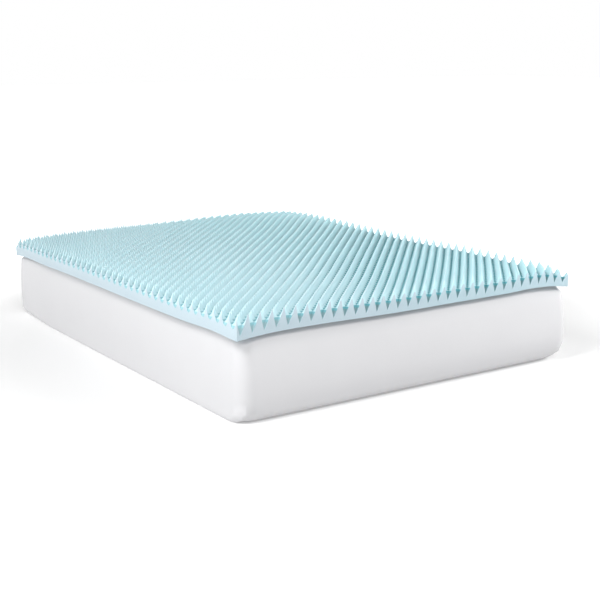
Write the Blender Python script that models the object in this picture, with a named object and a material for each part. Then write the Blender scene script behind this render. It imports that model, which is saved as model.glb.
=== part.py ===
"""Convoluted foam topper lying over a plain mattress.

Metres, +Z up. The origin is on the floor, under the middle of the whole. X runs across the
bed and Y along it, with the foot of the bed at -Y. The topper is one slab of foam, as deep as
its peaks are high. It lies on the crowned top of the mattress and sags over its edges.
"""

from collections import namedtuple
from math import exp, hypot

import bmesh
import bpy

# ---- driving dimensions ----
TOPPER_WIDTH = 1.524
TOPPER_LENGTH = 2.032
TOPPER_HEIGHT = 0.081  # underside to the tips of the peaks
TOPPER_X = -0.0045  # middle of the topper
TOPPER_Y = -0.009

MATTRESS_WIDTH = 1.510
MATTRESS_LENGTH = 2.045
MATTRESS_X = 0.0115  # middle of the mattress
MATTRESS_Y = 0.0025
CORNER_RADIUS = 0.060  # of the outline, seen from above
TOP_RADIUS = 0.018  # of the shoulder all round the top
BOTTOM_RADIUS = 0.012
CORNER_SEGMENTS = 6
EDGE_SEGMENTS = 4
CORNER_DROP = 0.030  # how far the top falls at an upright corner
CORNER_REACH = 0.13  # and how far from it that begins
SETTLE_DEPTH = 0.08  # how far down from the top the mattress follows the topper

CLEARANCE = 0.003  # between the topper's underside and the mattress

# ---- how the topper lies ----
CORNER_HEIGHT = 0.299  # floor to the underside at the front left corner

# The underside along each cut edge, above CORNER_HEIGHT. level is its middle stretch, and
# from each end the height of that corner fades into the level over the reach given.
Edge = namedtuple("Edge", "level reach_start reach_end")
FRONT = Edge(level=0.014, reach_start=0.09, reach_end=0.08)
BACK = Edge(level=-0.009, reach_start=0.23, reach_end=0.11)
LEFT = Edge(level=-0.009, reach_start=0.40, reach_end=0.14)
RIGHT = Edge(level=-0.003, reach_start=0.10, reach_end=0.12)

# The corners, above CORNER_HEIGHT.
FRONT_LEFT = 0.0
FRONT_RIGHT = 0.0
BACK_LEFT = -0.029
BACK_RIGHT = -0.018

# Soft dents and swellings on top of that: where, how high, and how wide.
Dent = namedtuple("Dent", "x y rise radius")
DENTS = (
    Dent(x=0.00, y=-0.68, rise=-0.008, radius=0.26),  # the hollow behind the front edge
    Dent(x=-0.77, y=-0.84, rise=0.005, radius=0.13),
    Dent(x=-0.73, y=-1.02, rise=-0.003, radius=0.08),
    Dent(x=-0.15, y=-1.02, rise=-0.003, radius=0.25),
    Dent(x=0.59, y=-1.02, rise=0.007, radius=0.13),
    Dent(x=-0.77, y=0.66, rise=-0.004, radius=0.20),
    Dent(x=0.76, y=-0.45, rise=0.006, radius=0.25),
    Dent(x=0.38, y=1.00, rise=0.006, radius=0.28),
)

# The two corners that hang out furthest are drawn in along X.
Corner = namedtuple("Corner", "x y pull")
DRAWN_CORNERS = (
    Corner(x=0.7575, y=-1.025, pull=-0.013),
    Corner(x=-0.7665, y=1.007, pull=0.012),
)
DRAWN_ACROSS = 0.15  # how far the drawing in reaches along X
DRAWN_ALONG = 0.30  # and along Y

# ---- facets ----
FIRST_STRIP = 0.025  # width of the outermost strip of facets
STRIP_GROWTH = 1.35  # each strip inwards is this much wider
WIDEST_STRIP = 0.14
SHOULDER_MARGIN = 0.020  # flat kept between a mattress shoulder and its first cut

COLLECTION = "mattress_topper"
FOAM_COLOUR = (0.49, 0.76, 0.81)
COVER_COLOUR = (0.82, 0.82, 0.84)


def edge_height(edge, start, end, length, along):
    """Height of the underside at a distance along one cut edge."""
    from_start = (start - edge.level) * exp(-along / edge.reach_start)
    from_end = (end - edge.level) * exp((along - length) / edge.reach_end)
    return edge.level + from_start + from_end


def underside(x, y):
    """Height of the topper's underside: its edges, blended across the middle, and dents."""
    u = min(max((x - TOPPER_X) / TOPPER_WIDTH + 0.5, 0.0), 1.0)
    v = min(max((y - TOPPER_Y) / TOPPER_LENGTH + 0.5, 0.0), 1.0)
    front = edge_height(FRONT, FRONT_LEFT, FRONT_RIGHT, TOPPER_WIDTH, u * TOPPER_WIDTH)
    back = edge_height(BACK, BACK_LEFT, BACK_RIGHT, TOPPER_WIDTH, u * TOPPER_WIDTH)
    left = edge_height(LEFT, FRONT_LEFT, BACK_LEFT, TOPPER_LENGTH, v * TOPPER_LENGTH)
    right = edge_height(RIGHT, FRONT_RIGHT, BACK_RIGHT, TOPPER_LENGTH, v * TOPPER_LENGTH)
    front_corners = (1 - u) * FRONT_LEFT + u * FRONT_RIGHT
    back_corners = (1 - u) * BACK_LEFT + u * BACK_RIGHT
    blend = (1 - v) * (front - front_corners) + v * (back - back_corners)
    blend += (1 - u) * left + u * right
    for dent in DENTS:
        spread = ((x - dent.x) ** 2 + (y - dent.y) ** 2) / dent.radius**2
        blend += dent.rise * exp(-spread)
    return CORNER_HEIGHT + blend


def drawn(x, y):
    """How far a place on the topper is drawn in along X."""
    shift = 0.0
    for corner in DRAWN_CORNERS:
        across = (x - corner.x) / DRAWN_ACROSS
        along = (y - corner.y) / DRAWN_ALONG
        shift += corner.pull * exp(-(across**2) - along**2)
    return shift


def strip_lines(half):
    """Cutting lines of one direction: narrow strips at both edges, wide ones between."""
    lines = []
    offset = 0.0
    strip = FIRST_STRIP
    while offset + strip < half:
        offset += strip
        lines.append(half - offset)
        strip = min(strip * STRIP_GROWTH, WIDEST_STRIP)
    return [-line for line in lines] + lines[::-1]


def cut_across(mesh, axis, lines):
    """Cuts every face along planes that stand across one axis."""
    for line in lines:
        point = [0.0, 0.0, 0.0]
        normal = [0.0, 0.0, 0.0]
        point[axis] = line
        normal[axis] = 1.0
        everything = mesh.verts[:] + mesh.edges[:] + mesh.faces[:]
        bmesh.ops.bisect_plane(mesh, geom=everything, plane_co=point, plane_no=normal)


def box_mesh(width, length, height, x, y):
    """A box that stands on the floor around (x, y)."""
    mesh = bmesh.new()
    bmesh.ops.create_cube(mesh, size=1.0)
    bmesh.ops.scale(mesh, vec=(width, length, height), verts=mesh.verts)
    bmesh.ops.translate(mesh, vec=(x, y, height / 2), verts=mesh.verts)
    return mesh


def round_edges(mesh, edges, radius, segments):
    """Rounds the given edges."""
    bmesh.ops.bevel(
        mesh,
        geom=edges,
        offset=radius,
        offset_type="OFFSET",
        segments=segments,
        profile=0.5,
        affect="EDGES",
        clamp_overlap=True,
        material=-1,
    )


def rim_edges(mesh, height):
    """The edges that lie all at one height around a flat face."""
    flat = [face for face in mesh.faces if abs(abs(face.normal.z) - 1.0) < 1e-4]
    face = next(face for face in flat if abs(face.calc_center_median().z - height) < 1e-4)
    return list(face.edges)


def make_material(name, colour, roughness):
    """A plain finish."""
    material = bpy.data.materials.new(name)
    material.use_nodes = True
    shader = material.node_tree.nodes["Principled BSDF"]
    shader.inputs["Base Color"].default_value = (*colour, 1.0)
    shader.inputs["Roughness"].default_value = roughness
    shader.inputs["Metallic"].default_value = 0.0
    return material


def add_object(name, mesh, collection, material):
    """Turns a bmesh into an object of the collection."""
    bmesh.ops.recalc_face_normals(mesh, faces=mesh.faces)
    data = bpy.data.meshes.new(name)
    mesh.to_mesh(data)
    mesh.free()
    data.materials.append(material)
    piece = bpy.data.objects.new(name, data)
    collection.objects.link(piece)
    return piece


def make_topper(collection):
    """The foam slab, cut into strips that follow the way it lies."""
    mesh = box_mesh(TOPPER_WIDTH, TOPPER_LENGTH, TOPPER_HEIGHT, TOPPER_X, TOPPER_Y)
    cut_across(mesh, 0, [TOPPER_X + line for line in strip_lines(TOPPER_WIDTH / 2)])
    cut_across(mesh, 1, [TOPPER_Y + line for line in strip_lines(TOPPER_LENGTH / 2)])
    for vert in mesh.verts:
        vert.co.x += drawn(vert.co.x, vert.co.y)
        vert.co.z += underside(vert.co.x, vert.co.y)
    foam = make_material("foam", FOAM_COLOUR, 0.9)
    add_object("topper", mesh, collection, foam)


def corner_closeness(x, y):
    """From 0 away from the mattress's upright corners to 1 at the nearest one."""
    to_x = MATTRESS_WIDTH / 2 - abs(x - MATTRESS_X)
    to_y = MATTRESS_LENGTH / 2 - abs(y - MATTRESS_Y)
    return max(1.0 - hypot(to_x, to_y) / CORNER_REACH, 0.0)


def make_mattress(collection):
    """The mattress: a rounded block whose top is crowned as the topper lies on it."""
    height = CORNER_HEIGHT
    mesh = box_mesh(MATTRESS_WIDTH, MATTRESS_LENGTH, height, MATTRESS_X, MATTRESS_Y)
    upright = [edge for edge in mesh.edges if abs(edge.verts[0].co.z - edge.verts[1].co.z) > 0.1]
    round_edges(mesh, upright, CORNER_RADIUS, CORNER_SEGMENTS)
    mesh.normal_update()
    round_edges(mesh, rim_edges(mesh, height), TOP_RADIUS, EDGE_SEGMENTS)
    mesh.normal_update()
    round_edges(mesh, rim_edges(mesh, 0.0), BOTTOM_RADIUS, EDGE_SEGMENTS)
    keep_x = MATTRESS_WIDTH / 2 - CORNER_RADIUS - SHOULDER_MARGIN
    keep_y = MATTRESS_LENGTH / 2 - CORNER_RADIUS - SHOULDER_MARGIN
    lines_x = [TOPPER_X + line for line in strip_lines(TOPPER_WIDTH / 2)]
    lines_y = [TOPPER_Y + line for line in strip_lines(TOPPER_LENGTH / 2)]
    cut_across(mesh, 0, [line for line in lines_x if abs(line - MATTRESS_X) < keep_x])
    cut_across(mesh, 1, [line for line in lines_y if abs(line - MATTRESS_Y) < keep_y])
    still = height - SETTLE_DEPTH
    for vert in mesh.verts:
        if vert.co.z > still:
            rise = underside(vert.co.x, vert.co.y) - CLEARANCE - height
            rise -= CORNER_DROP * corner_closeness(vert.co.x, vert.co.y) ** 2
            vert.co.z += rise * (vert.co.z - still) / SETTLE_DEPTH
    cover = make_material("mattress_cover", COVER_COLOUR, 0.85)
    add_object("mattress", mesh, collection, cover)


def build():
    """Clears the scene and makes both pieces."""
    for old in list(bpy.data.objects):
        bpy.data.objects.remove(old, do_unlink=True)
    collection = bpy.data.collections.new(COLLECTION)
    bpy.context.scene.collection.children.link(collection)
    make_mattress(collection)
    make_topper(collection)


build()
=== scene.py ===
# %% [markdown]
# # A convoluted foam topper on a mattress
#
# The object is a slab of egg-crate foam: 3 inches deep, queen size, its top a field of
# peaks and pits. It lies over a plain white mattress and sags a little over its edges.
# The lesson builds the foam the way a foam mill does: an endless sheet of peaks first,
# then four straight cuts, then the sheet is laid on the bed.
#
# Everything is in metres, +Z up, with the origin on the floor under the middle of the bed.
# The front is at -Y, and left and right are as seen from there.

# %% Load the measured model
from collections import namedtuple
from math import cos, exp, hypot, pi, radians, sin

import bmesh
import bpy
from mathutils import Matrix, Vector


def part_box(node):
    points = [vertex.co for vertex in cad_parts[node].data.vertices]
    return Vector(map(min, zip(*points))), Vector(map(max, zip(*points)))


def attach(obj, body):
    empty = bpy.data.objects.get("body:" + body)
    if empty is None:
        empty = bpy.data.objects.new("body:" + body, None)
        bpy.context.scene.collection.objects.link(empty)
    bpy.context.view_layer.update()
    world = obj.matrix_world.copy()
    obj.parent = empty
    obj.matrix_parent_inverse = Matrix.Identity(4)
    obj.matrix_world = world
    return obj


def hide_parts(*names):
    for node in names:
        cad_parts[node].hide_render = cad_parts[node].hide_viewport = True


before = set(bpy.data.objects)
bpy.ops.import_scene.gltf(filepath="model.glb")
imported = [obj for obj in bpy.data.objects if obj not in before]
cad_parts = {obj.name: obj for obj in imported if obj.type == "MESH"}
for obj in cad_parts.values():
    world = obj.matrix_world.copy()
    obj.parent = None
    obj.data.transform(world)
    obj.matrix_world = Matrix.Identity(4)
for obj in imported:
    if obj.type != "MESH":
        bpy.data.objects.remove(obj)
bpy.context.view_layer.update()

topper_low, topper_high = (Vector(corner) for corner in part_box("topper"))
mattress_low, mattress_high = (Vector(corner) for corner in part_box("mattress"))
WIDTH = topper_high.x - topper_low.x
LENGTH = topper_high.y - topper_low.y
print("topper", tuple(topper_high - topper_low))
print("mattress", tuple(mattress_high - mattress_low))

# %% [markdown]
# ## Shader maths as plain expressions
#
# A material is a graph, but its maths reads best as formulas. `Value` wraps one output
# socket and overloads the operators, so `1 - mask * 0.3` adds two Math nodes. `Finish`
# holds one material, and its `node` method makes every other kind of node: settings are
# set first, because some of them change which sockets the node has.


# %% A socket that can be added and multiplied
class Value:
    """A number that varies over a surface: one output socket of a finish."""

    def __init__(self, finish, socket):
        self.finish = finish
        self.socket = socket

    def maths(self, operation, *numbers):
        sockets = dict(enumerate(numbers))
        return self.finish.node("ShaderNodeMath", {"operation": operation}, sockets)

    def __add__(self, other):
        return self.maths("ADD", self, other)

    def __sub__(self, other):
        return self.maths("SUBTRACT", self, other)

    def __rsub__(self, other):
        return self.maths("SUBTRACT", other, self)

    def __mul__(self, other):
        return self.maths("MULTIPLY", self, other)

    __radd__ = __add__
    __rmul__ = __mul__

    def step(self, low, high):
        """A smooth step from 0 at low to 1 at high."""
        settings = {"interpolation_type": "SMOOTHSTEP"}
        sockets = {"Value": self, "From Min": low, "From Max": high}
        return self.finish.node("ShaderNodeMapRange", settings, sockets)


print("operators", sorted(name for name in vars(Value) if name.startswith("__r")))

# %% A material that is being made
# The Mix node has a pair of sockets for each kind of data, all called A and B, so the
# ones for colours are found by their numbers.
FIRST_COLOUR = 6
SECOND_COLOUR = 7
MIXED_COLOUR = 2


class Finish:
    """One material, its nodes and its Principled shader."""

    def __init__(self, name):
        self.material = bpy.data.materials.new(name)
        self.material.use_nodes = True
        self.tree = self.material.node_tree
        self.shader = self.tree.nodes["Principled BSDF"]

    def connect(self, socket, value):
        """Sets a socket to a constant, or links it to a value."""
        if isinstance(value, Value):
            self.tree.links.new(value.socket, socket)
        else:
            socket.default_value = value

    def node(self, kind, settings, sockets, output=0):
        """Adds a node: its settings first, then its sockets by name or number."""
        node = self.tree.nodes.new(kind)
        for name, setting in settings.items():
            setattr(node, name, setting)
        for name, value in sockets.items():
            self.connect(node.inputs[name], value)
        return Value(self, node.outputs[output])

    def mix(self, factor, first, second, blend="MIX"):
        """Blends a second colour into the first, or multiplies the first by it."""
        settings = {"data_type": "RGBA", "blend_type": blend}
        sockets = {"Factor": factor, FIRST_COLOUR: first, SECOND_COLOUR: second}
        return self.node("ShaderNodeMix", settings, sockets, MIXED_COLOUR)

    def surface(self, **sockets):
        """Sets the shader's own sockets; an underscore in a name stands for a space."""
        for name, value in sockets.items():
            self.connect(self.shader.inputs[name.replace("_", " ")], value)


print("a finish can", [name for name in vars(Finish) if not name.startswith("_")])

# %% [markdown]
# ## How the topper lies
#
# A foam slab is too stiff to fold, but it is heavy enough to follow what is under it and
# to droop where an edge sticks out. It could be a cloth simulation, but a slab as stiff as
# this would come out of it nearly flat, and the real one lies in its own uneven way. So
# its edges are described one by one: each has a level middle stretch, and the height of
# each corner fades into it.

# %% How each edge hangs
CORNER_HEIGHT = 0.299  # floor to the underside at the front left corner

Edge = namedtuple("Edge", "level reach_start reach_end")
FRONT = Edge(level=0.014, reach_start=0.09, reach_end=0.08)
BACK = Edge(level=-0.006, reach_start=0.23, reach_end=0.11)
LEFT = Edge(level=-0.009, reach_start=0.40, reach_end=0.14)
RIGHT = Edge(level=-0.003, reach_start=0.10, reach_end=0.12)

# The corners, above CORNER_HEIGHT.
FRONT_LEFT = 0.0
FRONT_RIGHT = 0.0
BACK_LEFT = -0.029
BACK_RIGHT = -0.018


def edge_height(edge, start, end, length, along):
    """Height of the underside at a distance along one cut edge."""
    from_start = (start - edge.level) * exp(-along / edge.reach_start)
    from_end = (end - edge.level) * exp((along - length) / edge.reach_end)
    return edge.level + from_start + from_end


middle_of_front = edge_height(FRONT, FRONT_LEFT, FRONT_RIGHT, WIDTH, WIDTH / 2)
print("the front edge rises", round(middle_of_front, 4), "to its middle")

# %% [markdown]
# One function then gives the height of the underside at any place. It blends the heights of
# the four edges across the middle, takes off what the corners would count twice, and adds
# soft dents. Foam and mattress both read it, so they stay the same small distance apart
# everywhere.

# %% The height of the underside
Dent = namedtuple("Dent", "x y rise radius")
DENTS = (
    Dent(x=0.00, y=-0.68, rise=-0.008, radius=0.26),  # the hollow behind the front edge
    Dent(x=-0.77, y=-0.84, rise=0.005, radius=0.13),
    Dent(x=-0.73, y=-1.02, rise=-0.003, radius=0.08),
    Dent(x=-0.15, y=-1.02, rise=-0.003, radius=0.25),
    Dent(x=0.59, y=-1.02, rise=0.007, radius=0.13),
    Dent(x=-0.77, y=0.66, rise=-0.004, radius=0.20),
    Dent(x=0.76, y=-0.45, rise=0.006, radius=0.25),
    Dent(x=0.38, y=1.00, rise=0.006, radius=0.28),
    Dent(x=0.52, y=0.62, rise=0.010, radius=0.24),
)


def underside(x, y):
    """Height of the topper's underside above the floor."""
    u = min(max((x - topper_low.x) / WIDTH, 0.0), 1.0)
    v = min(max((y - topper_low.y) / LENGTH, 0.0), 1.0)
    front = edge_height(FRONT, FRONT_LEFT, FRONT_RIGHT, WIDTH, u * WIDTH)
    back = edge_height(BACK, BACK_LEFT, BACK_RIGHT, WIDTH, u * WIDTH)
    left = edge_height(LEFT, FRONT_LEFT, BACK_LEFT, LENGTH, v * LENGTH)
    right = edge_height(RIGHT, FRONT_RIGHT, BACK_RIGHT, LENGTH, v * LENGTH)
    front_corners = (1 - u) * FRONT_LEFT + u * FRONT_RIGHT
    back_corners = (1 - u) * BACK_LEFT + u * BACK_RIGHT
    blend = (1 - v) * (front - front_corners) + v * (back - back_corners)
    blend += (1 - u) * left + u * right
    for dent in DENTS:
        spread = ((x - dent.x) ** 2 + (y - dent.y) ** 2) / dent.radius**2
        blend += dent.rise * exp(-spread)
    return CORNER_HEIGHT + blend


print("underside in the middle", round(underside(0.0, 0.0), 4))

# %% Two corners that are drawn in
# The two corners that hang out furthest pull the foam in along X.
Corner = namedtuple("Corner", "x y pull")
DRAWN_CORNERS = (
    Corner(x=0.7575, y=-1.025, pull=-0.013),
    Corner(x=-0.7665, y=1.007, pull=0.012),
)
DRAWN_ACROSS = 0.15  # how far the drawing in reaches along X
DRAWN_ALONG = 0.30  # and along Y


def drawn(x, y):
    """How far a place is drawn in along X."""
    shift = 0.0
    for corner in DRAWN_CORNERS:
        across = (x - corner.x) / DRAWN_ACROSS
        along = (y - corner.y) / DRAWN_ALONG
        shift += corner.pull * exp(-(across**2) - along**2)
    return shift


print("front right corner drawn in", round(drawn(topper_high.x, topper_low.y), 4))

# %% [markdown]
# ## The field of peaks
#
# Convoluted foam is made by squeezing a plain slab between two rollers set with knobs
# while a blade splits it. What springs back is a chequerboard of peaks and pits. Between
# two peaks that stand corner to corner runs a low bar, the saddle, and between four of
# them lies a pit. From the side the bars look like the rungs of a ladder.
#
# One peak could be modelled and repeated, but its neighbours would meet it in a visible
# seam. Here the height is one formula. It compares how far a place is from the nearest tip
# and from the nearest pit: all tip gives 1, all pit gives 0, and halfway along a bar it
# gives the height of the saddle.

# %% The shape of a peak
ROUNDNESS = 1.5  # 1 is a needle of a tip, and more is rounder
NARROWNESS = 0.7  # 1 is a straight cone of a pit, and less is narrower
SADDLE = 0.47  # height of the bar between two tips


def peak_height(r, t):
    """Height from 1 on a tip to 0 in a pit; r and t are places on the two diagonals."""
    to_r = abs(r - round(r))
    to_t = abs(t - round(t))
    from_tip = hypot(sin(pi * to_r), sin(pi * to_t)) ** ROUNDNESS
    from_pit = hypot(1 - 2 * to_r, 1 - 2 * to_t) ** NARROWNESS
    return from_pit / (from_pit + from_tip * (1 - SADDLE) / SADDLE)


heights = [round(peak_height(r, t), 3) for r, t in ((0, 0), (0.5, 0), (0.5, 0.5))]
print("tip, saddle and pit", heights)

# %% [markdown]
# ### A sheet that isn't perfect
#
# The number of peaks was counted along the front and the left side of the real one. Its
# rows aren't quite square to its edges, its tips lean the way the rollers dragged them,
# and the relief is crushed at one corner and proud at another.

# %% The sheet's own sizes
PEAKS_ACROSS = 33.0  # peaks in a row across the bed
PEAKS_ALONG = 40.7  # rows of peaks along the bed
FIRST_PEAK = 0.811  # left edge to the first whole peak, in peaks
PITCH_X = WIDTH / PEAKS_ACROSS
PITCH_Y = LENGTH / PEAKS_ALONG
FOAM_DEPTH = 0.081  # underside to the tips
FLOOR_DEPTH = 0.014  # underside to the floor of a pit
RELIEF = FOAM_DEPTH - FLOOR_DEPTH
print("pitch", round(PITCH_X, 5), round(PITCH_Y, 5))

# %% Creep, lean and crush
CREEP = 0.25  # how far the rows creep along the bed, in peaks
CREEP_RIGHT = 0.70  # and how much further at the right
LEAN_ACROSS = 0.009  # how far a tip leans to +X, as the rollers drag it
LEAN_PIVOT = 0.25  # at this height nothing moves across
LEAN_ALONG = 0.007  # how far a tip leans to +Y
LEAN_GROWTH = 1.8  # 1 would let that lean grow over the whole width
CRUSHED = 0.36  # how much relief the front right corner has lost
CRUSH_REACH = 0.07
PROUD = 0.08  # and how much the front left one has gained
PROUD_REACH = 0.06


def ease(value):
    """A smooth step from 0 to 1."""
    value = min(max(value, 0.0), 1.0)
    return value * value * (3 - 2 * value)


def creep(x, y):
    """How far the rows of peaks have crept along the bed, in peaks."""
    u = (x - topper_low.x) / WIDTH
    v = (y - topper_low.y) / LENGTH
    return u * v * (CREEP + CREEP_RIGHT * u * u)


def lean(x, height):
    """How far a point leans across and along, at a height of 0 to 1."""
    grown = ease((x - topper_low.x) / WIDTH * LEAN_GROWTH)
    return LEAN_ACROSS * (height - LEAN_PIVOT), LEAN_ALONG * height * grown


def fullness(x, y):
    """How full the relief is."""
    right = hypot(topper_high.x - x, topper_low.y - y)
    left = hypot(topper_low.x - x, topper_low.y - y)
    crushed = CRUSHED * exp(-((right / CRUSH_REACH) ** 2))
    return 1 - crushed + PROUD * exp(-((left / PROUD_REACH) ** 2))


print("fullness at the front right", round(fullness(topper_high.x, topper_low.y), 2))

# %% [markdown]
# ### Mesh lines where the shape has its lines
#
# Tips, ridges and pits have to be lines and points of the mesh, or they would look torn.
# They all lie on diagonal lines, so the sheet starts as a flat grid whose lines run along
# those diagonals, `r` and `t`: tips are at whole numbers of both, pits at halves of both,
# and a saddle at one half. `create_grid` makes it with one unit between lines, and
# `SAMPLES` says where between two tips each line belongs. It is closest around the tips.

# %% A grid whose lines run along the ridges
SAMPLES = (0.0, 0.10, 0.30, 0.50, 0.70, 0.90)  # lines of the mesh from tip to tip
SPARE = 4  # more tips than needed, so that the grid covers the corners
FIRST_R = -int(PEAKS_ALONG) - 3
FIRST_T = -2


def ridge_place(line):
    """The place of one line of the grid, in diagonals."""
    whole, sample = divmod(line, len(SAMPLES))
    return whole + SAMPLES[sample]


def ridge_grid():
    """A flat grid, and the place of each of its points on the two diagonals."""
    mesh = bmesh.new()
    mesh.verts.layers.float.new("rise")
    lines = (int(PEAKS_ACROSS + PEAKS_ALONG) + SPARE) * len(SAMPLES)
    bmesh.ops.create_grid(mesh, x_segments=lines, y_segments=lines, size=lines / 2)
    diagonals = {}
    for vert in mesh.verts:
        r = FIRST_R + ridge_place(round(vert.co.x + lines / 2))
        t = FIRST_T + ridge_place(round(vert.co.y + lines / 2))
        diagonals[vert] = (r, t)
    return mesh, diagonals


foam, diagonals = ridge_grid()
print("grid", len(foam.verts), "points")


# %% Its shape
# Each point also keeps its height as an attribute, "rise", for the foam's colour.
def outside(x, y, margin):
    """Whether a place is further than a margin outside the topper."""
    beyond_x = max(topper_low.x - x, x - topper_high.x)
    beyond_y = max(topper_low.y - y, y - topper_high.y)
    return max(beyond_x, beyond_y) > margin


def raise_peaks(mesh, diagonals):
    """Moves every point to its place and height, and drops those far outside."""
    rise = mesh.verts.layers.float["rise"]
    dropped = []
    for vert, (r, t) in diagonals.items():
        height = peak_height(r, t)
        x = topper_low.x + PITCH_X * ((r + t) / 2 + FIRST_PEAK)
        y = topper_low.y + PITCH_Y * (t - r) / 2
        y += PITCH_Y * creep(x, y)
        lean_x, lean_y = lean(x, height)
        top = FLOOR_DEPTH + RELIEF * height * fullness(x, y)
        vert.co = (x + lean_x, y + lean_y, top)
        vert[rise] = (FLOOR_DEPTH + RELIEF * height) / FOAM_DEPTH
        if outside(x, y, PITCH_Y):
            dropped.append(vert)
    bmesh.ops.delete(mesh, geom=dropped, context="VERTS")


def crease_ridges(mesh, diagonals):
    """Makes the lines through tips and pits sharp."""
    for edge in mesh.edges:
        start, end = (diagonals[vert] for vert in edge.verts)
        edge.smooth = not any(a == b and (2 * a) % 1 == 0 for a, b in zip(start, end))


crease_ridges(foam, diagonals)
raise_peaks(foam, diagonals)
print("sheet", len(foam.verts), "points")

# %% [markdown]
# ## Cutting it to size
#
# The mill trims the sheet with a straight blade, wherever the edge happens to fall. Across
# the front it runs through a row of peaks, and leaves a row of teeth. Down the left side
# it runs between rows. `bisect_plane` is that blade: it cuts every face the plane crosses
# and drops what lies outside.


# %% Four straight cuts
def trim(mesh, point, outward):
    """Cuts the sheet along a plane and drops what is outside."""
    everything = mesh.verts[:] + mesh.edges[:] + mesh.faces[:]
    bmesh.ops.bisect_plane(
        mesh, geom=everything, plane_co=point, plane_no=outward, clear_outer=True
    )


trim(foam, topper_low, (-1, 0, 0))
trim(foam, topper_high, (1, 0, 0))
trim(foam, topper_low, (0, -1, 0))
trim(foam, topper_high, (0, 1, 0))
print("trimmed", len(foam.faces), "faces")

# %% [markdown]
# ### Sides and underside
#
# The cut rim is extruded down, which makes the sides, and closed underneath with one big
# face. That face needs points of its own, or it couldn't bend, so the same blade cuts it
# into strips, this time without dropping anything.

# %% Cutting faces into strips
STRIP = 0.12  # width of a strip of the underside


def strip_lines(low, high, width):
    """Evenly spaced lines between two ends, without the ends."""
    count = round((high - low) / width)
    return [low + (high - low) * line / count for line in range(1, count)]


def cut_across(mesh, geometry, axis, lines):
    """Cuts some faces along planes across one axis, and returns what they became."""
    for line in lines:
        point = Vector((0, 0, 0))
        normal = Vector((0, 0, 0))
        point[axis] = line
        normal[axis] = 1
        cut = bmesh.ops.bisect_plane(mesh, geom=geometry, plane_co=point, plane_no=normal)
        geometry = cut["geom"]
    return geometry


print("strips across", len(strip_lines(topper_low.x, topper_high.x, STRIP)) + 1)

# %% Closing the sheet
TOP_FACE = 0
CUT_FACE = 1


def extrude_sides(mesh):
    """Draws the cut rim down to the underside."""
    rim = [edge for edge in mesh.edges if edge.is_boundary]
    for edge in rim:
        edge.smooth = False
    rise = mesh.verts.layers.float["rise"]
    for element in bmesh.ops.extrude_edge_only(mesh, edges=rim)["geom"]:
        if isinstance(element, bmesh.types.BMVert):
            element.co.z = 0
            element[rise] = 0
        if isinstance(element, bmesh.types.BMFace):
            element.material_index = CUT_FACE
            element.smooth = False


def fill_underside(mesh):
    """Closes the sheet underneath, in strips."""
    rim = [edge for edge in mesh.edges if edge.is_boundary]
    base = bmesh.ops.holes_fill(mesh, edges=rim, sides=0)["faces"]
    for face in base:
        face.material_index = CUT_FACE
    geometry = base + [edge for face in base for edge in face.edges]
    geometry += [vert for face in base for vert in face.verts]
    lines_x = strip_lines(topper_low.x, topper_high.x, STRIP)
    lines_y = strip_lines(topper_low.y, topper_high.y, STRIP)
    geometry = cut_across(mesh, geometry, 0, lines_x)
    cut_across(mesh, geometry, 1, lines_y)


extrude_sides(foam)
fill_underside(foam)
print("closed", len(foam.faces), "faces, open edges", sum(e.is_boundary for e in foam.edges))

# %% [markdown]
# ## Making a piece of it
#
# The same few lines finish every piece: normals out, a mesh, an object at the origin, its
# finish, and the calls that tie it to the measured model.


# %% From bmesh to piece
def make_piece(name, mesh, finishes, node):
    """Turns a bmesh into a piece that stands for a node of the measured model."""
    bmesh.ops.recalc_face_normals(mesh, faces=mesh.faces)
    data = bpy.data.meshes.new(name)
    mesh.to_mesh(data)
    mesh.free()
    for finish in finishes:
        data.materials.append(finish.material)
    piece = bpy.data.objects.new(name, data)
    bpy.context.scene.collection.objects.link(piece)
    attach(piece, "root")
    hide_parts(node)
    print(name, len(data.polygons), "faces")


# %% [markdown]
# ## Foam, torn and cut
#
# The foam is one pale aqua all through, but it doesn't look it. Deep in a pit the light has
# bounced from wall to wall and picked up the tint each time, so it looks a dull teal, and
# the tips are nearly white. Light bounces too few times in a render to do all of that, so
# the colour goes by height, as painted light: painted shade darkens the pits and the walls
# below the saddles, and a painted highlight whitens the tips. `rise` is 0 at the underside
# and 1 at the tips, and a smooth step leads from each of four colours to the next. A little
# noise on the height keeps the steps from looking ruled. The sheet also looks paler and
# greyer towards its left side, where the light comes from, and that is painted light too.
#
# Foam lets a little light through, so that thin tips and edges glow: that is `Subsurface
# Weight`. Its cells are about a millimetre across, too small for a mesh, so they are a
# bump. The blade leaves a closer, greyer face on the cut sides, with a finish of its own,
# painted lighter from its foot to its top: painted light on the upper part of the teeth.

# %% Foam colours
# Painted light by height: a painted highlight on the tips, the plain colour, then painted
# shade down the pits.
TIP_PAINTED_HIGHLIGHT = (0.61, 0.73, 0.79, 1)
FOAM_PALE = (0.46, 0.685, 0.73, 1)
DEEP_PAINTED_SHADE = (0.12, 0.40, 0.45, 1)
PIT_PAINTED_SHADE = (0.20, 0.34, 0.37, 1)
PEAK_COLOURS = (PIT_PAINTED_SHADE, DEEP_PAINTED_SHADE, FOAM_PALE, TIP_PAINTED_HIGHLIGHT)
PAINTED_LIGHT_STEPS = ((0.40, 0.52), (0.535, 0.575), (0.86, 1.0))  # from each to the next
# The cut sides go from a darker foot to a lighter top: painted light.
CUT_PAINTED_LIGHT_TOP = (0.43, 0.55, 0.61, 1)
CUT_BASE = (0.37, 0.49, 0.54, 1)
CUT_COLOURS = (CUT_BASE, CUT_PAINTED_LIGHT_TOP)
CUT_PAINTED_LIGHT_STEPS = ((0.2, 1.0),)
print("foam colours", len(PEAK_COLOURS), "on the peaks and", len(CUT_COLOURS), "on the cuts")

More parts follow.
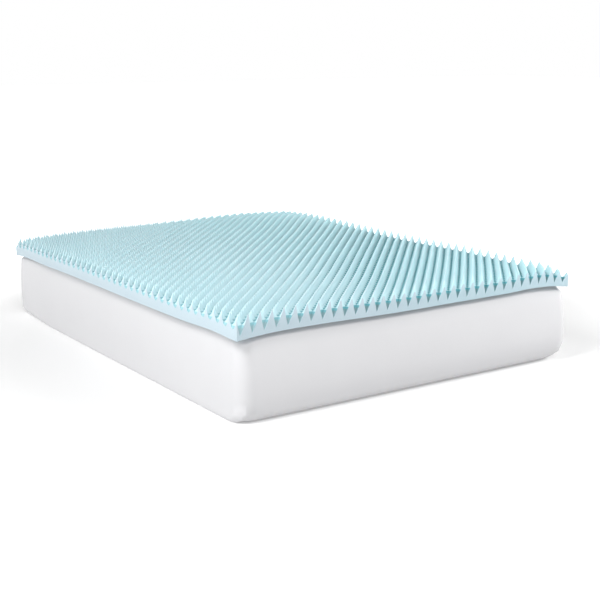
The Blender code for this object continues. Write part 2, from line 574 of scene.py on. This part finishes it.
# %% How the foam varies
PATCH_SCALE = 9.0  # soft patches to a metre
PATCH_SHIFT = 0.01  # how far a patch moves a colour up or down
GRAIN_SCALE = 220.0
GRAIN_SHIFT = 0.02
# The painted shade in the pits grows paler towards the left, where the light comes from.
PALE_FROM = 0.25  # left of here the deep colours grow paler
PALE_TO = 0.80
PALENESS = 0.4
# The colour turns greyer towards the left: painted light from that side.
LEFT_LIGHT_FROM = -0.35  # left of here the foam fades towards grey
LEFT_LIGHT_TO = 0.45
LEFT_PAINTED_LIGHT = (1.08, 1.0, 1.0, 1)
CELL_SIZE = 0.0012
CELL_DEPTH = 0.0006
GLOW_DEPTH = 0.0015  # how far light travels inside the foam


def foam_colour(finish, place, level, colours, steps):
    """A colour for each height, painted light and shade, paler and greyer towards the lit
    left side.
    """
    colour = colours[0]
    for (low, high), upper in zip(steps, colours[1:]):
        colour = finish.mix(level.step(low, high), colour, upper)
    leftward = finish.node("ShaderNodeSeparateXYZ", {}, {"Vector": place}, "X") * -1
    pale = leftward.step(PALE_FROM, PALE_TO) * PALENESS
    colour = finish.mix(pale, colour, colours[-2])
    return finish.mix(leftward.step(LEFT_LIGHT_FROM, LEFT_LIGHT_TO), colour, LEFT_PAINTED_LIGHT, "MULTIPLY")


def foam_finish(name, colours, steps):
    """Open-celled foam: colour by height as painted shade and highlight, faint mottling and a
    bump of fine cells.
    """
    finish = Finish(name)
    place = finish.node("ShaderNodeTexCoord", {}, {}, "Object")
    patches = finish.node("ShaderNodeTexNoise", {}, {"Vector": place, "Scale": PATCH_SCALE})
    grain = finish.node("ShaderNodeTexNoise", {}, {"Vector": place, "Scale": GRAIN_SCALE})
    rise = finish.node("ShaderNodeAttribute", {"attribute_name": "rise"}, {}, "Fac")
    level = rise + (patches - 0.5) * PATCH_SHIFT + (grain - 0.5) * GRAIN_SHIFT
    colour = foam_colour(finish, place, level, colours, steps)
    cells = finish.node("ShaderNodeTexVoronoi", {}, {"Vector": place, "Scale": 1 / CELL_SIZE})
    hollows = {"Height": cells, "Strength": 0.25, "Distance": CELL_DEPTH}
    bump = finish.node("ShaderNodeBump", {}, hollows)
    finish.surface(Base_Color=colour, Roughness=0.86 + patches * 0.12, Normal=bump)
    finish.surface(Sheen_Weight=0.12, Sheen_Roughness=0.5)
    finish.surface(Subsurface_Weight=0.6, Subsurface_Scale=GLOW_DEPTH)
    finish.surface(Subsurface_Radius=(1.0, 1.0, 1.0))
    print(name, len(finish.tree.nodes), "nodes")
    return finish


torn_foam = foam_finish("foam_peaks", PEAK_COLOURS, PAINTED_LIGHT_STEPS)
cut_foam = foam_finish("foam_cut", CUT_COLOURS, CUT_PAINTED_LIGHT_STEPS)

# %% [markdown]
# ## On the bed
#
# So far the sheet is flat. Every point is now drawn in and lifted by the height of the
# underside at its place, so the whole slab bends and keeps its depth.


# %% Lay it on the bed
def lay(mesh):
    """Draws every point in, and lifts it by the height of the underside there."""
    for vert in mesh.verts:
        vert.co.x += drawn(vert.co.x, vert.co.y)
        vert.co.z += underside(vert.co.x, vert.co.y)
    for face in mesh.faces:
        face.smooth = face.material_index == TOP_FACE


lay(foam)
make_piece("foam_topper", foam, (torn_foam, cut_foam), "topper")

# %% [markdown]
# ## The mattress
#
# A plain foam mattress in a stretch cover is a block with rounded corners, a round
# shoulder and a round foot. It could be one cube under a Bevel modifier, but that has one
# radius for all. Here `bevel` rounds the upright edges first, then the rim of the top and
# the rim of the base, each with its own radius. The shoulder has a flatter profile,
# because the foam presses on it.

# %% Rounding edges
CORNER_RADIUS = 0.060
SHOULDER_RADIUS = 0.018
SHOULDER_PROFILE = 0.30
FOOT_RADIUS = 0.035
UPRIGHT_SEGMENTS = 12
RIM_SEGMENTS = 8


def round_edges(mesh, edges, radius, segments, profile=0.5):
    """Rounds some edges; a profile of 0.25 would be a flat bevel."""
    bmesh.ops.bevel(
        mesh,
        geom=edges,
        offset=radius,
        segments=segments,
        profile=profile,
        affect="EDGES",
        material=-1,
    )
    mesh.normal_update()


def rim_edges(mesh, height):
    """The edges around the flat face at one height."""
    level = [f for f in mesh.faces if abs(f.calc_center_median().z - height) < 1e-5]
    return [edge for face in level for edge in face.edges]


def upright_edges(mesh):
    """The edges of a box that stand up."""
    return [e for e in mesh.edges if abs(e.verts[0].co.z - e.verts[1].co.z) > 0.1]


def make_block(low, high):
    """A block with rounded uprights, shoulder and foot."""
    mesh = bmesh.new()
    bmesh.ops.create_cube(mesh, size=1)
    bmesh.ops.scale(mesh, vec=high - low, verts=mesh.verts)
    bmesh.ops.translate(mesh, vec=(low + high) / 2, verts=mesh.verts)
    round_edges(mesh, upright_edges(mesh), CORNER_RADIUS, UPRIGHT_SEGMENTS)
    shoulder = rim_edges(mesh, high.z)
    round_edges(mesh, shoulder, SHOULDER_RADIUS, RIM_SEGMENTS, SHOULDER_PROFILE)
    round_edges(mesh, rim_edges(mesh, low.z), FOOT_RADIUS, RIM_SEGMENTS)
    return mesh


block_high = Vector((mattress_high.x, mattress_high.y, CORNER_HEIGHT))
block = make_block(mattress_low, block_high)
print("block", len(block.faces), "faces")

# %% [markdown]
# ### Points to move
#
# The block's flat faces have points only at their corners, so they can't swell or sag. The
# blade cuts them into strips, without touching the rounded edges, which have points enough.

# %% Strips along, across and up the walls
CUT_SPACING = 0.06
COURSE_SPACING = 0.04  # up the walls
FLAT_MARGIN = 0.02  # flat kept beside a rounded corner
inset = CORNER_RADIUS + FLAT_MARGIN
lines_x = strip_lines(mattress_low.x + inset, mattress_high.x - inset, CUT_SPACING)
lines_y = strip_lines(mattress_low.y + inset, mattress_high.y - inset, CUT_SPACING)
lines_z = strip_lines(FOOT_RADIUS, CORNER_HEIGHT - SHOULDER_RADIUS, COURSE_SPACING)
lines_x = [mattress_low.x + inset] + lines_x + [mattress_high.x - inset]
lines_y = [mattress_low.y + inset] + lines_y + [mattress_high.y - inset]
everything = block.verts[:] + block.edges[:] + block.faces[:]
everything = cut_across(block, everything, 0, lines_x)
everything = cut_across(block, everything, 1, lines_y)
everything = cut_across(block, everything, 2, lines_z)
print("block cut", len(block.faces), "faces")

# %% [markdown]
# ### Soft walls
#
# Under load a wall swells below mid height. Its top stands back a little under the foam,
# except on the left side, where it reaches the foam's edge. Where the mattress meets the
# floor, the left wall stands out on a nearly square foot and the front one turns under.
# Small functions say how far a point moves for each of these, so that each can be tried on
# its own.

# %% How far a wall stands out
SWELL = 0.007  # how far a wall swells below mid height
TUCK = 0.015  # how far its top stands back under the foam
FLARE = 0.010  # how far the foot of the left wall stands out
UNDERCUT = 0.015  # how far the foot of the front wall stands back at its left end
UNDERCUT_MORE = 0.030  # and how much further at its right end
FOOT_HEIGHT = 0.10  # up to where both reach
NEAR_PARTS = 8  # a shift of the foot is gone after an eighth of the bed
BACK_PARTS = 5  # and the flare fades out over the last fifth of its length


def wall_shift(facing, height):
    """How far a wall stands out from its own plane; the left one isn't tucked in."""
    part = height / CORNER_HEIGHT
    tuck = TUCK * part**3 * (1 - max(-facing.x, 0.0))
    return SWELL * sin(pi * part**0.75) - tuck


def left_share(across, along):
    """From 0 to 1 at the left wall; across and along go from 0 to 1 over the mattress."""
    return ease(1 - across * NEAR_PARTS) * ease((1 - along) * BACK_PARTS)


def foot_shift(across, along, height):
    """How far the foot of a wall stands out on the left side, or back at the front."""
    low = max(1 - height / FOOT_HEIGHT, 0.0) ** 2
    front = ease(1 - along * NEAR_PARTS)
    out = -FLARE * left_share(across, along) * low
    back = (UNDERCUT + UNDERCUT_MORE * across) * front * low
    return Vector((out, back, 0))


print("front foot stands back", round(foot_shift(1, 0, 0).y, 3), "at its right end")

# %% [markdown]
# ### Foot and crown
#
# The round of the foot is pressed out on the left side, and the foot lifts a little at the
# upright corners. The top follows the foam: it is lifted to just under it, and sinks at
# the corners. Further down, the lift fades out.

# %% Everything a point does
SQUARE_FOOT = 0.8  # how much of the round of the foot is pressed out on the left side
FOOT_EDGE = FOOT_RADIUS * 1.01  # points closer to the left side than this belong to its foot
FOOT_LIFT = 0.013  # how far the foot leaves the floor at an upright corner
CORNER_DROP = 0.013  # how far the top falls at an upright corner
CORNER_REACH = 0.10  # and how far from it that begins
SETTLE_DEPTH = 0.08  # how far down from the top the mattress follows the foam
CLEARANCE = 0.003  # between the foam and the mattress


def corner_closeness(x, y):
    """From 0 away from the upright corners to 1 at the nearest one."""
    to_x = min(x - mattress_low.x, mattress_high.x - x)
    to_y = min(y - mattress_low.y, mattress_high.y - y)
    return min(max(1 - hypot(to_x, to_y) / CORNER_REACH, 0.0), 1.0)


def settle_point(vert):
    """Swells, shapes and crowns the mattress at one of its points."""
    outward = Vector((vert.normal.x, vert.normal.y, 0))
    height = vert.co.z
    corner = corner_closeness(vert.co.x, vert.co.y) ** 2
    from_left = vert.co.x - mattress_low.x
    across = (vert.co.x - mattress_low.x) / (mattress_high.x - mattress_low.x)
    along = (vert.co.y - mattress_low.y) / (mattress_high.y - mattress_low.y)
    if outward.length > 0.01:
        facing = outward.normalized()
        vert.co += facing * wall_shift(facing, height)
    if height < FOOT_RADIUS and from_left < FOOT_EDGE:
        vert.co.x -= SQUARE_FOOT * from_left * (1 - corner) * left_share(across, along)
    vert.co += foot_shift(across, along, height)
    if height < FOOT_RADIUS:
        vert.co.z += FOOT_LIFT * corner
    still = CORNER_HEIGHT - SETTLE_DEPTH
    if height > still:
        rise = underside(vert.co.x, vert.co.y) - CLEARANCE - CORNER_HEIGHT
        rise -= CORNER_DROP * corner
        vert.co.z += rise * (height - still) / SETTLE_DEPTH


block.normal_update()
for vert in block.verts:
    settle_point(vert)
print("top of the mattress", round(max(vert.co.z for vert in block.verts), 4))

# %% [markdown]
# ## The cover
#
# A white stretch knit. Its loops are about a millimetre and a half wide, far too small for
# a mesh, so they are a bump of cells of the loop's own size. A slow noise adds the faint
# unevenness of a cloth that has been pulled over foam.

# %% Cover finish
LOOP_SIZE = 0.0016
LOOP_DEPTH = 0.0005
SLOW_SCALE = 5.0
COVER_LIGHT = (0.58, 0.58, 0.59, 1)
COVER_SHADE = (0.54, 0.54, 0.555, 1)


def cover_finish(name):
    """White stretch knit."""
    finish = Finish(name)
    place = finish.node("ShaderNodeTexCoord", {}, {}, "Object")
    slow = finish.node("ShaderNodeTexNoise", {}, {"Vector": place, "Scale": SLOW_SCALE})
    loops = finish.node("ShaderNodeTexVoronoi", {}, {"Vector": place, "Scale": 1 / LOOP_SIZE})
    colour = finish.mix(slow * 0.5 + loops * 0.3, COVER_LIGHT, COVER_SHADE)
    hollows = {"Height": loops, "Strength": 0.2, "Distance": LOOP_DEPTH}
    bump = finish.node("ShaderNodeBump", {}, hollows)
    finish.surface(Base_Color=colour, Roughness=0.82 + slow * 0.1, Normal=bump)
    finish.surface(Sheen_Weight=0.15, Sheen_Roughness=0.4)
    print(name, len(finish.tree.nodes), "nodes")
    return finish


for face in block.faces:
    face.smooth = True
knit_cover = cover_finish("knit_cover")
make_piece("mattress_cover", block, (knit_cover,), "mattress")

# %% [markdown]
# ## Floor
#
# The photographer's floor is so bright that it has burnt out to white, and only the shadow
# beside the mattress is grey. A floor bright enough for that would throw its light back
# under the mattress's foot. So the floor here glows on its own, faintly near the bed and
# fully from a few steps away.

# %% Floor that glows with distance
FLOOR_REACH = 30
FLOOR_GREY = (0.72, 0.72, 0.72, 1)
GLOW_NEAR = (0.18, 0.18, 0.18, 1)
GLOW_FAR = (1, 1, 1, 1)
GLOW_STRENGTH = 1.2
DARK_MIDDLE = (0.22, -0.22, 0.0)  # the floor glows more with the distance from here
GLOW_FROM = 1.2
GLOW_TO = 2.75


def make_floor():
    """A wide pale floor."""
    mesh = bmesh.new()
    bmesh.ops.create_grid(mesh, x_segments=1, y_segments=1, size=FLOOR_REACH)
    data = bpy.data.meshes.new("floor")
    mesh.to_mesh(data)
    mesh.free()
    finish = Finish("pale_floor")
    place = finish.node("ShaderNodeTexCoord", {}, {}, "Object")
    ends = {0: place, 1: DARK_MIDDLE}
    away = finish.node("ShaderNodeVectorMath", {"operation": "DISTANCE"}, ends, "Value")
    glow = finish.mix(away.step(GLOW_FROM, GLOW_TO), GLOW_NEAR, GLOW_FAR)
    finish.surface(Base_Color=FLOOR_GREY, Roughness=0.9)
    finish.surface(Emission_Color=glow, Emission_Strength=GLOW_STRENGTH)
    data.materials.append(finish.material)
    floor = bpy.data.objects.new("floor", data)
    bpy.context.scene.collection.objects.link(floor)
    return floor


floor = make_floor()
print("floor", tuple(floor.dimensions))

# %% [markdown]
# ## Light
#
# The room is a studio with white walls and a dark ceiling: the walls light the bed's sides
# evenly, and the dark above leaves the valleys of the foam their shade. Sky light could
# come from an even colour, but that would fill every pit. The height in the sky decides
# how bright it is, with a short ramp from walls to ceiling.

# %% White walls, dark ceiling
WALLS = 1.0
CEILING = 0.02
WALL_TOP = 0.06  # up to this height on the unit sky the walls are white
CEILING_EDGE = 0.14  # and above this one it is ceiling


def make_world():
    """White walls all round, low down, under a dark ceiling."""
    world = bpy.data.worlds.new("studio")
    world.use_nodes = True
    nodes = world.node_tree.nodes
    links = world.node_tree.links
    place = nodes.new("ShaderNodeTexCoord")
    split = nodes.new("ShaderNodeSeparateXYZ")
    ramp = nodes.new("ShaderNodeMapRange")
    ramp.inputs["From Min"].default_value = WALL_TOP
    ramp.inputs["From Max"].default_value = CEILING_EDGE
    ramp.inputs["To Min"].default_value = WALLS
    ramp.inputs["To Max"].default_value = CEILING
    links.new(place.outputs["Generated"], split.inputs["Vector"])
    links.new(split.outputs["Z"], ramp.inputs["Value"])
    links.new(ramp.outputs["Result"], nodes["Background"].inputs["Strength"])
    nodes["Background"].inputs["Color"].default_value = (1, 1, 1, 1)
    bpy.context.scene.world = world


make_world()
print("sky", bpy.context.scene.world.name)

# %% [markdown]
# ### Windows and lamps
#
# Two wide, far lights stand for windows: a low one from the left, which rakes over the
# peaks, and a higher one from the front. A far light is a Sun, and its angle is how wide
# the window looks. Three square lamps stand nearer: the key light over the front left
# corner, a weak one over the front, and one at the right that lifts the front wall.

# %% Lights
WINDOW_WIDTH = 30  # degrees of the sky
LAMP_AIM = Vector((0, 0, 0.3))


def make_light(name, data, place, towards):
    """Puts a light somewhere and turns it."""
    light = bpy.data.objects.new(name, data)
    light.location = place
    light.rotation_euler = Vector(towards).to_track_quat("-Z", "Y").to_euler()
    bpy.context.scene.collection.objects.link(light)


def make_window(name, azimuth, elevation, strength):
    """A far soft light, so wide that its shadows have no edge."""
    data = bpy.data.lights.new(name, "SUN")
    data.energy = strength
    data.angle = radians(WINDOW_WIDTH)
    turn = radians(azimuth)
    tilt = radians(elevation)
    towards = (-cos(turn) * cos(tilt), -sin(turn) * cos(tilt), -sin(tilt))
    make_light(name, data, (0, 0, 3), towards)


def make_softbox(name, place, size, watts):
    """A square lamp aimed at the middle of the bed."""
    data = bpy.data.lights.new(name, "AREA")
    data.energy = watts
    data.size = size
    make_light(name, data, place, LAMP_AIM - Vector(place))


make_window("left window", 155, 18, 1.50)
make_window("front window", 250, 40, 1.0)
make_softbox("key lamp", (-2.6, -1.6, 2.8), 1.2, 74)
make_softbox("front lamp", (0.3, -3.0, 2.5), 1.2, 19)
make_softbox("right lamp", (3.0, -2.0, 1.5), 1.0, 72)
bpy.context.scene.view_settings.view_transform = "Standard"
print("lights", len(bpy.data.lights))

# %% [markdown]
# ## Camera
#
# The edges of the bed run towards two vanishing points, and these give the camera's turn,
# its pitch and how long its lens is. The size of the bed then gives how far away it is. It
# stands a little above the bed, at the front left, with a long lens.

# %% Camera
CAMERA_AT = (-2.5865, -4.1125, 1.2310)
CAMERA_PITCH = 77.46
CAMERA_TURN = -33.77
FOCAL_LENGTH = 68.9
SENSOR_WIDTH = 36.0


def make_camera():
    """The photographer's camera."""
    data = bpy.data.cameras.new("camera")
    data.sensor_width = SENSOR_WIDTH
    data.lens = FOCAL_LENGTH
    camera = bpy.data.objects.new("camera", data)
    camera.location = CAMERA_AT
    camera.rotation_euler = (radians(CAMERA_PITCH), 0, radians(CAMERA_TURN))
    bpy.context.scene.collection.objects.link(camera)
    bpy.context.scene.camera = camera


make_camera()
print("camera", round(Vector(CAMERA_AT).length, 2), "m from the middle of the bed")

# %% [markdown]
# ## The end
